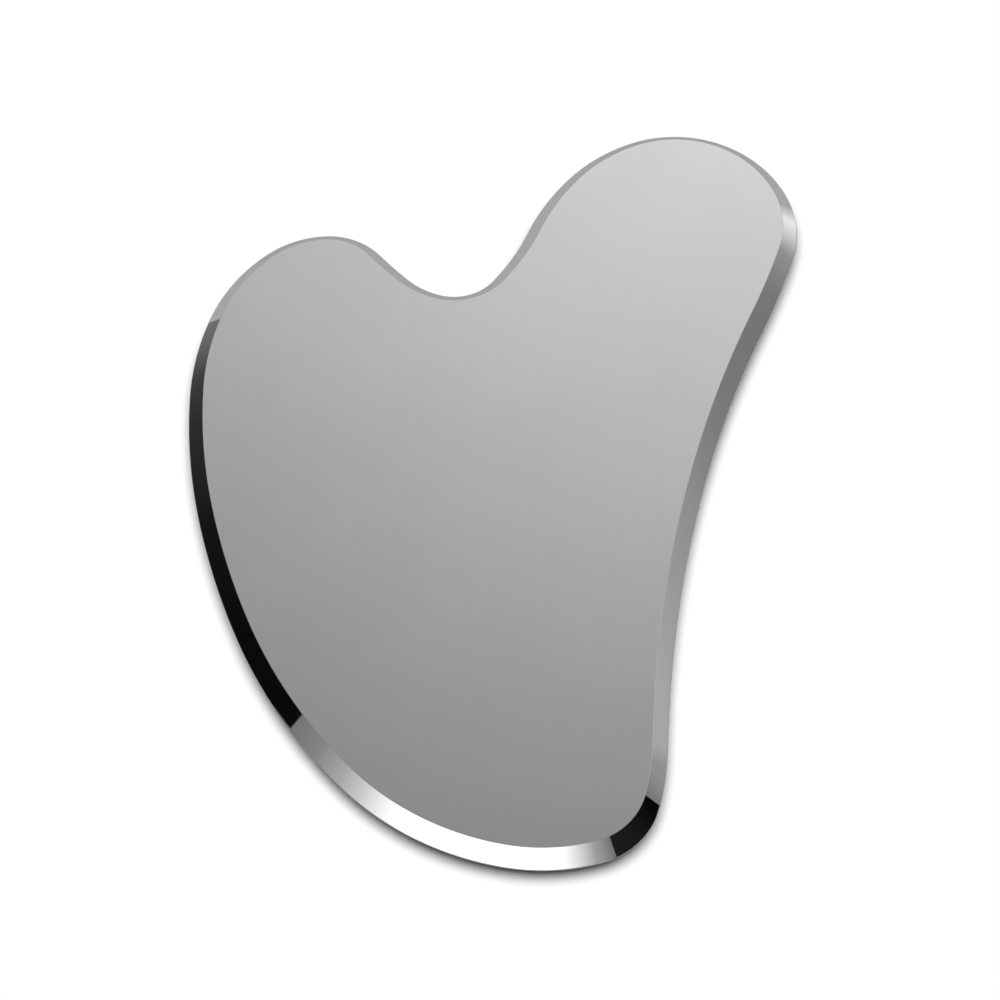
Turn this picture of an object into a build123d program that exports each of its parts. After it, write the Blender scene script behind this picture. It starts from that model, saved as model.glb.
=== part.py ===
from build123d import *
from math import cos, radians, sin, sqrt
import os

# A gua sha scraper: one flat, heart-shaped plate of polished steel with a bevelled rim.
# Units are millimetres. The plate lies flat on its back face. +Z runs through its thickness,
# +Y runs along its length towards the larger lobe, and the origin is on the back face, at the
# middle of the plate's length and width.

# Driving dimensions
thickness = 4.5          # from the back face to the front face
bevel_inset = 1.63       # how far each bevel runs in from the rim, measured across the face
bevel_height = 2.10      # how far each bevel drops from its face to the rim
nose_radius = 0.40       # rounding of the rim between the two bevels, which meets the skin
face_edge_radius = 0.06  # rounding of the line between each face and its bevel

# The rim's outline, clockwise from above, as points on the rim and the direction in which it
# runs there, in degrees anticlockwise from +X. Two tangent arcs join each point to the next.
outline_stations = [
    (-26.20, 19.50, 51.5),   # small lobe, left shoulder
    (-13.95, 22.40, -34.0),  # small lobe, right shoulder
    (-6.30, 19.05, -2.0),    # bottom of the notch
    (1.15, 28.85, 79.5),     # side of the notch, on the large lobe
    (9.70, 42.70, 33.5),     # large lobe, left shoulder
    (27.75, 40.10, -50.5),   # large lobe, right shoulder
    (29.00, 23.20, -101.0),  # under the large lobe, where the hollow side starts
    (28.60, -22.20, -80.5),  # where the hollow side ends
    (30.30, -34.50, -90.0),  # side of the heel
    (16.10, -44.95, -177.0),  # bottom of the heel
    (-17.40, -25.95, 126.0),  # long curved side
    (-29.65, 0.60, 102.0),   # flank, below the small lobe
]


def direction(angle):
    """Unit vector at an angle in degrees from +X."""
    return Vector(cos(radians(angle)), sin(radians(angle)))


def arc_pair(start, start_angle, end, end_angle):
    """Two arcs, tangent where they meet, that leave start and reach end in the directions given."""
    leave = direction(start_angle)
    arrive = direction(end_angle)
    chord = end - start
    # The tangents drawn from both ends have one length, reach. Their tips are 2 * reach apart,
    # which makes reach the positive root of a * reach**2 + b * reach - c = 0. The arcs meet
    # halfway between the tips.
    a = 2 * (1 - leave.dot(arrive))
    b = 2 * chord.dot(leave + arrive)
    c = chord.dot(chord)
    reach = (sqrt(b * b + 4 * a * c) - b) / (2 * a)
    meeting_point = (start + end + (leave - arrive) * reach) / 2
    first = TangentArc(start, meeting_point, tangent=leave)
    second = TangentArc(meeting_point, end, tangent=first % 1)
    return [first, second]


def rim_outline():
    """The closed outline of the rim."""
    arcs = []
    for number, (x, y, angle) in enumerate(outline_stations):
        next_x, next_y, next_angle = outline_stations[(number + 1) % len(outline_stations)]
        arcs += arc_pair(Vector(x, y), angle, Vector(next_x, next_y), next_angle)
    return Wire(arcs)


def edges_at_height(shape, heights):
    """The edges that lie level at any of the heights."""
    level_edges = ShapeList()
    for height in heights:
        level_edges += shape.edges().filter_by_position(Axis.Z, height, height)
    return level_edges


def scraper_plate():
    """The plate: both faces are bevelled towards a rounded nose at mid-thickness."""
    plate = extrude(make_face(rim_outline()), thickness)
    for face_side in (Axis.Z, -Axis.Z):
        face = plate.faces().sort_by(face_side)[-1]
        plate = chamfer(face.edges(), bevel_height, bevel_inset)
    plate = fillet(edges_at_height(plate, (bevel_height, thickness - bevel_height)), nose_radius)
    plate = fillet(edges_at_height(plate, (0, thickness)), face_edge_radius)
    return plate


os.makedirs("parts", exist_ok=True)
export_step(scraper_plate(), "parts/scraper_plate.step")
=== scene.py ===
from math import atan2, ceil, cos, pi, radians, sin, sqrt, tan

import bpy
import numpy as np
from mathutils import Matrix, Vector
from mathutils.geometry import delaunay_2d_cdt


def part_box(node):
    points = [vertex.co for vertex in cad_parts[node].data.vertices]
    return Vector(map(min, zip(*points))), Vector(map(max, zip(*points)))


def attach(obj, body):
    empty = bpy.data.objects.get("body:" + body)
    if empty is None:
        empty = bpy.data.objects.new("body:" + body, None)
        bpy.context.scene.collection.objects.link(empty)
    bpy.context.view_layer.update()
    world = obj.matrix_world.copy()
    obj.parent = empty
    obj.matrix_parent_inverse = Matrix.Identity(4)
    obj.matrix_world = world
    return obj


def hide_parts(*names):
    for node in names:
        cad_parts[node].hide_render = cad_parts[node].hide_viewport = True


# A gua sha scraper of mirror-polished steel, lying on a pale floor in a soft studio light.
# Everything is in metres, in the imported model's frame, and angles are in degrees where named.

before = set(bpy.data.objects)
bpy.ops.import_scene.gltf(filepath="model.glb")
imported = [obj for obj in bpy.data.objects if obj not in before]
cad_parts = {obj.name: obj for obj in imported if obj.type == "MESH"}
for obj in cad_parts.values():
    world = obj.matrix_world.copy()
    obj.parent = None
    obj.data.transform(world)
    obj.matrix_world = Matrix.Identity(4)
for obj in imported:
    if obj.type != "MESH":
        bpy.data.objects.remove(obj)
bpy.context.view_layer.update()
plate_low, plate_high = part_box("scraper_plate")

MM = 0.001

# ---------------------------------------------------------------- sizes

# The plate, as designed
thickness = plate_high.z - plate_low.z
bevel_inset = 1.63 * MM        # how far each bevel runs in from the rim
bevel_height = 2.10 * MM       # how far each bevel drops from its face
nose_radius = 0.40 * MM        # rounding of the rim between the two bevels
face_edge_radius = 0.06 * MM   # rounding of the line between each face and its bevel

# The rim's outline, clockwise from above: points in millimetres, and the direction in which
# the rim runs there, in degrees anticlockwise from +X. Two tangent arcs join each to the next.
outline_stations = [
    (-26.20, 19.50, 51.5),   # small lobe, left shoulder
    (-13.95, 22.40, -34.0),  # small lobe, right shoulder
    (-6.30, 19.05, -2.0),    # bottom of the notch
    (1.15, 28.85, 79.5),     # side of the notch, on the large lobe
    (9.70, 42.70, 33.5),     # large lobe, left shoulder
    (27.75, 40.10, -50.5),   # large lobe, right shoulder
    (29.00, 23.20, -101.0),  # under the large lobe, where the hollow side starts
    (28.60, -22.20, -80.5),  # where the hollow side ends
    (30.30, -34.50, -90.0),  # side of the heel
    (16.10, -44.95, -177.0),  # bottom of the heel
    (-17.40, -25.95, 126.0),  # long curved side
    (-29.65, 0.60, 102.0),   # flank, below the small lobe
]

# The plate's mesh
rim_spacing = 0.30 * MM        # between points along the rim
nose_steps = 5                 # bands in half of the nose's rounding
face_edge_steps = 3            # bands in the rounding of a face's edge
bevel_rows = (0.04, 0.35, 0.65, 0.96)  # where edges run along a bevel, from its top to the nose
face_border = 0.10 * MM        # width of the band of quads just inside a face's edge
face_spacing = 1.6 * MM        # between the points that fill a face

# The camera
camera_azimuth = 14.67
camera_elevation = 62.87
camera_roll = -1.3
camera_distance = 493.9 * MM
camera_lens = 166.6            # on a sensor 36 wide
aim_from_centre = Vector((5.896, -3.905, 0.15)) * MM

# The polish: how large its features are, and the colours that it reflects
haze_size = 9 * MM
smudge_size = 14 * MM
waviness_size = 7 * MM
waviness_height = 0.003 * MM
wear_size = 1.5 * MM
clean_tint = (0.597, 0.613, 0.606, 1)
smudged_tint = (0.613, 0.628, 0.618, 1)
scratched_tint = (0.575, 0.587, 0.580, 1)

# Hairline scratches: angle from +X, length and width in millimetres, and share of the surface
scratch_sets = [
    (24, 14, 0.10, 0.33),
    (-38, 9, 0.08, 0.31),
    (83, 18, 0.12, 0.32),
]

# The studio that the steel mirrors. Directions are azimuths, anticlockwise from +X, and
# elevations. Brightness is 1 for plain white. Falloff is larger for a smaller light.
back_light_direction = (98.2, 52.8)
back_light_falloff = 49.9
back_light_brightness = 1.09
window_directions = [(40, 38), (-122, 33), (147, 29)]
window_falloff = 30
window_brightness = 0.75
front_card_brightness = [      # by azimuth
    (-153.1, 0.28), (-147.3, 0.38), (-142.3, 0.61), (-134.8, 0.96), (-121.5, 1.9),
    (-71, 1.9), (-55.5, 0.52), (-39.2, 0.27),
]
front_card_end = -39.15        # azimuth where the card stops and the front flag starts
right_card_brightness = [      # by azimuth at the horizon
    (11.7, 0.28), (14.5, 0.30), (16, 0.37), (20, 0.63), (28.6, 1.29), (32.6, 0.57),
]
right_card_end = 32.6
right_card_lean = 1.2          # degrees of azimuth for each degree of elevation
front_flag_edge = [(-18, 17.5), (-9.5, 23.1), (6, 4.5)]  # azimuth where it ends, by elevation
left_flag_brightness = [       # by azimuth
    (144.6, 0.24), (149, 0.21), (158, 0.08), (166, 0.04), (180, 0.011), (192, 0.005),
]
left_flag_start = 144.6
left_flag_end = 208.4          # at the horizon
left_flag_lean = -0.6          # degrees of azimuth for each degree of elevation
left_flag_lean_floor = -9.5    # elevation below which its edge runs straight down
room_floor_brightness = 0.01   # what lights the floor besides the key light

# The key light and the floor
key_azimuth, key_elevation = 46.0, 88.5
key_strength = 3.64
key_angle = 48                 # how wide it looks, which sets how soft the shadow is
floor_half_width = 3.0
floor_gap = 0.02 * MM          # between the floor and the plate's back face
floor_grey = (0.86, 0.86, 0.86, 1)


# ---------------------------------------------------------------- the plate's outline and section

def unit(angle):
    """Unit vector in the plane, at an angle in radians from +X."""
    return np.array((cos(angle), sin(angle)))


def arc_samples(start, heading, end):
    """Points and headings along the arc from start, where it has the heading, up to end."""
    chord = end - start
    leave = unit(heading)
    turn = 2 * atan2(leave[0] * chord[1] - leave[1] * chord[0], leave @ chord)
    curvature = 2 * sin(turn / 2) / np.linalg.norm(chord)
    steps = max(2, ceil(abs(turn / curvature) / rim_spacing))
    headings = heading + turn * np.arange(steps) / steps
    points = start + np.column_stack((
        (np.sin(headings) - sin(heading)) / curvature,
        (cos(heading) - np.cos(headings)) / curvature,
    ))
    return points, headings, heading + turn


def arc_pair_samples(start, start_heading, end, end_heading):
    """Points and headings along two tangent arcs that leave start and reach end as told."""
    leave, arrive = unit(start_heading), unit(end_heading)
    chord = end - start
    a = 2 * (1 - leave @ arrive)
    b = 2 * chord @ (leave + arrive)
    c = chord @ chord
    reach = (sqrt(b * b + 4 * a * c) - b) / (2 * a)
    meeting_point = (start + end + (leave - arrive) * reach) / 2
    first, first_headings, middle_heading = arc_samples(start, start_heading, meeting_point)
    second, second_headings, _ = arc_samples(meeting_point, middle_heading, end)
    return np.concatenate((first, second)), np.concatenate((first_headings, second_headings))


def rim_samples():
    """Points all along the rim, and the outward normals there."""
    points, headings = [], []
    for number, (x, y, angle) in enumerate(outline_stations):
        next_x, next_y, next_angle = outline_stations[(number + 1) % len(outline_stations)]
        more_points, more_headings = arc_pair_samples(
            np.array((x, y)) * MM, radians(angle), np.array((next_x, next_y)) * MM, radians(next_angle)
        )
        points.append(more_points)
        headings.append(more_headings)
    points, headings = np.concatenate(points), np.concatenate(headings)
    return points, np.column_stack((-np.sin(headings), np.cos(headings)))


def front_half_section():
    """The rim's section from inside the front face to the tip of the nose, as rows of
    (inset from the rim, height above the back face, tilt of the surface normal, wear)."""
    bevel_tilt = atan2(bevel_inset, bevel_height)
    face_turn = pi / 2 - bevel_tilt
    face_tangent = face_edge_radius * tan(face_turn / 2)
    nose_tangent = nose_radius * tan(bevel_tilt / 2)
    nose_corner = thickness - bevel_height
    rows = [(bevel_inset + face_tangent + face_border, thickness, pi / 2, 0)]
    for step in range(face_edge_steps + 1):
        tilt = pi / 2 - face_turn * step / face_edge_steps
        inset = bevel_inset + face_tangent - face_edge_radius * cos(tilt)
        rows.append((inset, thickness - face_edge_radius * (1 - sin(tilt)), tilt, 1))
    bevel_top = np.array(rows[-1][:2])
    bevel_bottom = np.array((
        nose_tangent * sin(bevel_tilt),
        nose_corner + nose_tangent * cos(bevel_tilt),
    ))
    for fraction in bevel_rows:
        inset, height = bevel_top + (bevel_bottom - bevel_top) * fraction
        rows.append((inset, height, bevel_tilt, 0))
    for step in range(nose_steps + 1):
        tilt = bevel_tilt * (1 - step / nose_steps)
        height = nose_corner - nose_tangent + nose_radius * sin(tilt)
        rows.append((nose_radius * (1 - cos(tilt)), height, tilt, 1))
    return rows


# ---------------------------------------------------------------- the plate's mesh

def lattice_inside(edge_points, edge_normals):
    """Points of an even triangular lattice that lie well inside the closed edge."""
    low, high = edge_points.min(axis=0), edge_points.max(axis=0)
    row_height = face_spacing * sin(radians(60))
    points = []
    for row, y in enumerate(np.arange(low[1], high[1], row_height)):
        for x in np.arange(low[0] + face_spacing / 2 * (row % 2), high[0], face_spacing):
            points.append((x, y))
    points = np.array(points)
    gaps = points[:, None, :] - edge_points[None, :, :]
    nearest = np.argmin((gaps ** 2).sum(axis=2), axis=1)
    to_edge = gaps[np.arange(len(points)), nearest]
    depth = -(to_edge * edge_normals[nearest]).sum(axis=1)
    return points[depth > 0.55 * face_spacing]


def face_triangles(edge_points, edge_normals):
    """Lattice points inside the edge, and the triangles that join them and the edge's points.
    A triangle's numbers count the edge's points first, then the lattice's."""
    lattice = lattice_inside(edge_points, edge_normals)
    count = len(edge_points)
    inputs = [Vector(point / MM) for point in np.concatenate((edge_points, lattice))]
    edges = [(i, (i + 1) % count) for i in range(count)]
    _, _, triangles, came_from, _, _ = delaunay_2d_cdt(inputs, edges, [], 1, 1e-5)
    return lattice, [[came_from[corner][0] for corner in triangle] for triangle in triangles]


def plate_mesh():
    """The whole plate as one closed mesh: rings of quads round the rim, and a filled face each side."""
    points, normals = rim_samples()
    count = len(points)
    section = front_half_section()
    section += [(inset, thickness - height, -tilt, wear) for inset, height, tilt, wear in section[::-1]]
    vertices, vertex_normals, vertex_wear, faces = [], [], [], []
    for inset, height, tilt, wear in section:
        ring = points - normals * inset
        vertices += [(x, y, height) for x, y in ring]
        vertex_normals += [(cos(tilt) * x, cos(tilt) * y, sin(tilt)) for x, y in normals]
        vertex_wear += [wear] * count
    for ring in range(len(section) - 1):
        for i in range(count):
            j = (i + 1) % count
            upper, lower = ring * count, (ring + 1) * count
            faces.append((upper + i, upper + j, lower + j, lower + i))
    lattice, triangles = face_triangles(points - normals * section[0][0], normals)
    for height, side, first_in_ring in ((thickness, 1, 0), (0, -1, (len(section) - 1) * count)):
        first_in_lattice = len(vertices)
        vertices += [(x, y, height) for x, y in lattice]
        vertex_normals += [(0, 0, side)] * len(lattice)
        vertex_wear += [0] * len(lattice)
        for triangle in triangles:
            corners = [first_in_ring + c if c < count else first_in_lattice + c - count for c in triangle]
            faces.append(corners[::side])
    mesh = bpy.data.meshes.new("polished_plate")
    mesh.from_pydata(vertices, [], faces)
    mesh.polygons.foreach_set("use_smooth", [True] * len(mesh.polygons))
    mesh.normals_split_custom_set_from_vertices(vertex_normals)
    mesh.attributes.new("edge_wear", "FLOAT", "POINT").data.foreach_set("value", vertex_wear)
    return mesh


# ---------------------------------------------------------------- nodes

class NodeTree:
    """Adds nodes to a tree in a few words, and joins them."""

    def __init__(self, tree):
        self.tree = tree
        self.tree.nodes.clear()

    def add(self, kind, inputs=(), **settings):
        """A new node. Each input gets a value, or a link if it is given another node's output."""
        node = self.tree.nodes.new(kind)
        for name, value in settings.items():
            setattr(node, name, value)
        for key, value in dict(inputs).items():
            if isinstance(value, bpy.types.NodeSocket):
                self.tree.links.new(value, node.inputs[key])
            else:
                node.inputs[key].default_value = value
        return node

    def math(self, operation, *values):
        """The result of a Math node on the values."""
        return self.add("ShaderNodeMath", enumerate(values), operation=operation).outputs[0]

    def blend(self, factor, first, second):
        """First where the factor is 0, and second where it is 1."""
        return self.add("ShaderNodeMix", {"Factor": factor, "A": first, "B": second}).outputs[0]

    def slope(self, value, start, end, low=0.0, high=1.0):
        """Low up to start and high from end on, with a smooth slope between them."""
        inputs = {"Value": value, "From Min": start, "From Max": end, "To Min": low, "To Max": high}
        return self.add("ShaderNodeMapRange", inputs, interpolation_type="SMOOTHSTEP").outputs[0]

    def profile(self, value, stops):
        """Straight lines from stop to stop, each stop a value and the result that it gives."""
        first, last = stops[0][0], stops[-1][0]
        peak = max(result for _, result in stops)
        along = {"Value": value, "From Min": first, "From Max": last}
        ramp = self.add("ShaderNodeValToRGB", {"Fac": self.add("ShaderNodeMapRange", along).outputs[0]})
        elements = ramp.color_ramp.elements
        for _ in stops[2:]:
            elements.new(0.5)
        for element, (place, result) in zip(elements, stops):
            element.position = (place - first) / (last - first)
            element.color = (result / peak, result / peak, result / peak, 1)
        return self.math("MULTIPLY", ramp.outputs["Color"], peak)

    def spot(self, direction, centre, falloff):
        """1 towards the centre, fading smoothly with the angle from it."""
        along = self.add("ShaderNodeVectorMath", {0: direction, 1: centre}, operation="DOT_PRODUCT")
        return self.math("EXPONENT", self.math("MULTIPLY_ADD", along.outputs["Value"], falloff, -falloff))


# ---------------------------------------------------------------- material

def polished_steel():
    """Mirror-polished stainless steel. It has the haze and the slight waviness that a polishing wheel
    leaves, hairline scratches from use, and edges worn a little duller."""
    material = bpy.data.materials.new("polished_steel")
    material.use_nodes = True
    nodes = NodeTree(material.node_tree)
    position = nodes.add("ShaderNodeTexCoord").outputs["Object"]

    def noise(place, feature, detail, **settings):
        """Noise whose patches are about one feature across."""
        inputs = {"Vector": place, "Scale": 1 / feature, "Detail": detail, **settings}
        return nodes.add("ShaderNodeTexNoise", inputs).outputs["Fac"]

    def hairlines(angle, length, width, coverage):
        """Long thin streaks: 1 in the middle of a streak and 0 between them."""
        stretched = nodes.add("ShaderNodeMapping", {
            "Vector": bent, "Rotation": (0, 0, radians(-angle)),
            "Scale": (1 / (length * MM), 1 / (width * MM), 1 / (length * MM)),
        }, vector_type="POINT").outputs[0]
        streaks = noise(stretched, 1.0, 2.0, Roughness=0.6)
        return nodes.slope(streaks, 1 - coverage, 1.06 - coverage)

    # The scratches are drawn on a slightly bent copy of the plate's coordinates, so none is straight
    bend = nodes.add("ShaderNodeTexNoise", {"Vector": position, "Scale": 1 / (25 * MM), "Detail": 1.0})
    bent = nodes.add("ShaderNodeVectorMath", {
        0: bend.outputs["Color"], 1: (3 * MM, 3 * MM, 3 * MM), 2: position,
    }, operation="MULTIPLY_ADD").outputs[0]
    scratches = hairlines(*scratch_sets[0])
    for scratch_set in scratch_sets[1:]:
        scratches = nodes.math("MAXIMUM", scratches, hairlines(*scratch_set))
    haze = nodes.slope(noise(position, haze_size, 4.0, Roughness=0.6), 0.35, 0.70)
    waviness = noise(position, waviness_size, 1.0)
    wear = nodes.add("ShaderNodeAttribute", attribute_name="edge_wear").outputs["Fac"]
    worn = nodes.math("MULTIPLY", wear, noise(position, wear_size, 3.0))

    smudges = nodes.slope(noise(position, smudge_size, 2.0), 0.30, 0.70)
    tint = nodes.add("ShaderNodeMix", {
        "Factor": smudges, "A": clean_tint, "B": smudged_tint,
    }, data_type="RGBA").outputs["Result"]
    tint = nodes.add("ShaderNodeMix", {
        "Factor": nodes.math("MULTIPLY", scratches, 0.35), "A": tint, "B": scratched_tint,
    }, data_type="RGBA").outputs["Result"]
    roughness = nodes.math("MULTIPLY_ADD", haze, 0.015, 0.02)
    roughness = nodes.math("MULTIPLY_ADD", scratches, 0.03, roughness)
    roughness = nodes.math("MULTIPLY_ADD", worn, 0.08, roughness)
    height = nodes.math("MULTIPLY_ADD", scratches, -0.02, waviness)
    bump = nodes.add("ShaderNodeBump", {"Height": height, "Distance": waviness_height, "Strength": 1.0})
    shader = nodes.add("ShaderNodeBsdfPrincipled", {
        "Base Color": tint, "Metallic": 1.0, "Roughness": roughness, "Normal": bump.outputs[0],
    })
    nodes.add("ShaderNodeOutputMaterial", {"Surface": shader.outputs[0]})
    return material


# ---------------------------------------------------------------- studio

def studio_world():
    """The room that the steel mirrors. The camera itself sees plain white, and the floor is lit
    by the key light."""
    world = bpy.data.worlds.new("studio")
    world.use_nodes = True
    world.cycles.sampling_method = "NONE"
    nodes = NodeTree(world.node_tree)
    direction = nodes.add("ShaderNodeTexCoord").outputs["Generated"]
    direction = nodes.add("ShaderNodeVectorMath", {0: direction}, operation="NORMALIZE").outputs[0]
    axes = nodes.add("ShaderNodeSeparateXYZ", {0: direction})
    azimuth = nodes.math("DEGREES", nodes.math("ARCTAN2", axes.outputs["Y"], axes.outputs["X"]))
    elevation = nodes.math("DEGREES", nodes.math("ARCSINE", axes.outputs["Z"]))

    # Above: walls that darken towards the ceiling, a soft light behind, and one straight overhead
    walls = nodes.slope(elevation, 32, 58, 0.60, 0.20)
    overhead = nodes.slope(elevation, 68, 86, 0.0, 0.35)
    room = nodes.math("ADD", walls, overhead)
    back_light = nodes.spot(direction, towards(*back_light_direction), back_light_falloff)
    room = nodes.math("MULTIPLY_ADD", back_light, back_light_brightness, room)

    # Soft windows part way up the other walls, which end above the horizon
    window_height = nodes.slope(elevation, 18, 28, 0.0, window_brightness)
    for window_direction in window_directions:
        window = nodes.spot(direction, towards(*window_direction), window_falloff)
        room = nodes.math("MULTIPLY_ADD", window, window_height, room)

    # Round the horizon: pale surroundings, and in front of them a white card ahead and a card at
    # the right that leans, so that its azimuth shifts with elevation
    surroundings = nodes.slope(elevation, -48, -24, 0.43, 0.57)
    front_card = nodes.profile(azimuth, front_card_brightness)
    right_azimuth = nodes.math("MULTIPLY_ADD", elevation, right_card_lean, azimuth)
    right_card = nodes.profile(right_azimuth, right_card_brightness)
    right_card = nodes.math("MAXIMUM", right_card, nodes.slope(elevation, -11.5, -8.5, 0.44, 0.28))
    past_right_card = nodes.math("GREATER_THAN", right_azimuth, right_card_end)
    horizon = nodes.blend(past_right_card, right_card, surroundings)
    horizon = nodes.blend(nodes.math("LESS_THAN", azimuth, front_card_end), horizon, front_card)
    horizon = nodes.blend(nodes.slope(elevation, -40, -29), surroundings, horizon)

    # Two black flags that hang lower than the cards: one between them, whose right edge leans
    # like the card and then runs back below the horizon, and one at the left
    in_front_flag = nodes.math(
        "MULTIPLY", nodes.math("GREATER_THAN", azimuth, front_card_end),
        nodes.math("LESS_THAN", azimuth, nodes.profile(elevation, front_flag_edge)),
    )
    front_flag = nodes.slope(elevation, -8, 6, 0.004, 0.018)
    horizon = nodes.blend(in_front_flag, horizon, front_flag)
    turned_azimuth = nodes.math("FLOORED_MODULO", azimuth, 360.0)
    left_flag = nodes.profile(turned_azimuth, left_flag_brightness)
    left_flag = nodes.blend(nodes.slope(elevation, -1, 9), left_flag, surroundings)
    lean_from = nodes.math("MAXIMUM", elevation, left_flag_lean_floor)
    left_azimuth = nodes.math("MULTIPLY_ADD", lean_from, left_flag_lean, turned_azimuth)
    in_left_flag = nodes.math(
        "MULTIPLY", nodes.math("GREATER_THAN", turned_azimuth, left_flag_start),
        nodes.math("LESS_THAN", left_azimuth, left_flag_end),
    )
    horizon = nodes.blend(in_left_flag, horizon, left_flag)
    horizon = nodes.blend(nodes.slope(elevation, -58, -46), surroundings, horizon)

    # The room meets the horizon's cards, and only the steel sees either of them
    mirrored = nodes.blend(nodes.slope(elevation, 8.6, 14), horizon, room)
    path = nodes.add("ShaderNodeLightPath")
    lit_by_key = nodes.math("GREATER_THAN", path.outputs["Diffuse Depth"], 0.5)
    brightness = nodes.blend(lit_by_key, mirrored, room_floor_brightness)
    brightness = nodes.blend(path.outputs["Is Camera Ray"], brightness, 1.0)
    background = nodes.add("ShaderNodeBackground", {"Strength": brightness})
    background.inputs["Color"].default_value = (1, 1, 1, 1)
    nodes.add("ShaderNodeOutputWorld", {"Surface": background.outputs[0]})
    bpy.context.scene.world = world


def soft_key_light():
    """A wide soft light overhead, which lights the floor and draws the soft shadow.
    The steel mirrors the studio instead of it."""
    data = bpy.data.lights.new("key_light", "SUN")
    data.energy = key_strength
    data.angle = radians(key_angle)
    light = bpy.data.objects.new("key_light", data)
    bpy.context.scene.collection.objects.link(light)
    light.matrix_world = looking_matrix(Vector(), key_azimuth, key_elevation, 0.0, 1.0)
    light.visible_glossy = False


def towards(azimuth, elevation):
    """Unit vector in the studio, from an azimuth anticlockwise from +X and an elevation."""
    a, e = radians(azimuth), radians(elevation)
    return Vector((cos(a) * cos(e), sin(a) * cos(e), sin(e)))


def looking_matrix(target, azimuth, elevation, roll, distance):
    """Placement of a camera or light that looks at the target. Azimuth 0 looks along +Y."""
    a, e = radians(azimuth), radians(elevation)
    back = Vector((sin(a) * cos(e), -cos(a) * cos(e), sin(e)))
    right = Vector((cos(a), sin(a), 0))
    turned = Matrix.Rotation(radians(roll), 3, back)
    axes = Matrix((turned @ right, turned @ back.cross(right), back)).transposed()
    return Matrix.Translation(target + back * distance) @ axes.to_4x4()


def pale_floor():
    """A wide plain floor just under the plate. The steel doesn't mirror it."""
    material = bpy.data.materials.new("pale_floor")
    material.use_nodes = True
    nodes = NodeTree(material.node_tree)
    shader = nodes.add("ShaderNodeBsdfPrincipled", {"Roughness": 1.0, "Specular IOR Level": 0.0})
    shader.inputs["Base Color"].default_value = floor_grey
    nodes.add("ShaderNodeOutputMaterial", {"Surface": shader.outputs[0]})
    half = floor_half_width
    mesh = bpy.data.meshes.new("floor")
    corners = [(-half, -half, 0), (half, -half, 0), (half, half, 0), (-half, half, 0)]
    mesh.from_pydata(corners, [], [(0, 1, 2, 3)])
    mesh.materials.append(material)
    floor = bpy.data.objects.new("floor", mesh)
    bpy.context.scene.collection.objects.link(floor)
    floor.location.z = plate_low.z - floor_gap
    floor.visible_glossy = False


def camera():
    """Puts the camera in front of the plate and above it, with a long lens."""
    data = bpy.data.cameras.new("camera")
    data.lens = camera_lens
    data.clip_start, data.clip_end = 0.01, 20
    camera_object = bpy.data.objects.new("camera", data)
    bpy.context.scene.collection.objects.link(camera_object)
    middle = (plate_low + plate_high) / 2
    camera_object.matrix_world = looking_matrix(
        middle + aim_from_centre, camera_azimuth, camera_elevation, camera_roll, camera_distance
    )
    bpy.context.scene.camera = camera_object


# ---------------------------------------------------------------- assembly

plate = bpy.data.objects.new("polished_plate", plate_mesh())
bpy.context.scene.collection.objects.link(plate)
plate.data.materials.append(polished_steel())
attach(plate, "root")
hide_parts("scraper_plate")

pale_floor()
studio_world()
soft_key_light()
camera()
bpy.context.scene.view_settings.view_transform = "Standard"
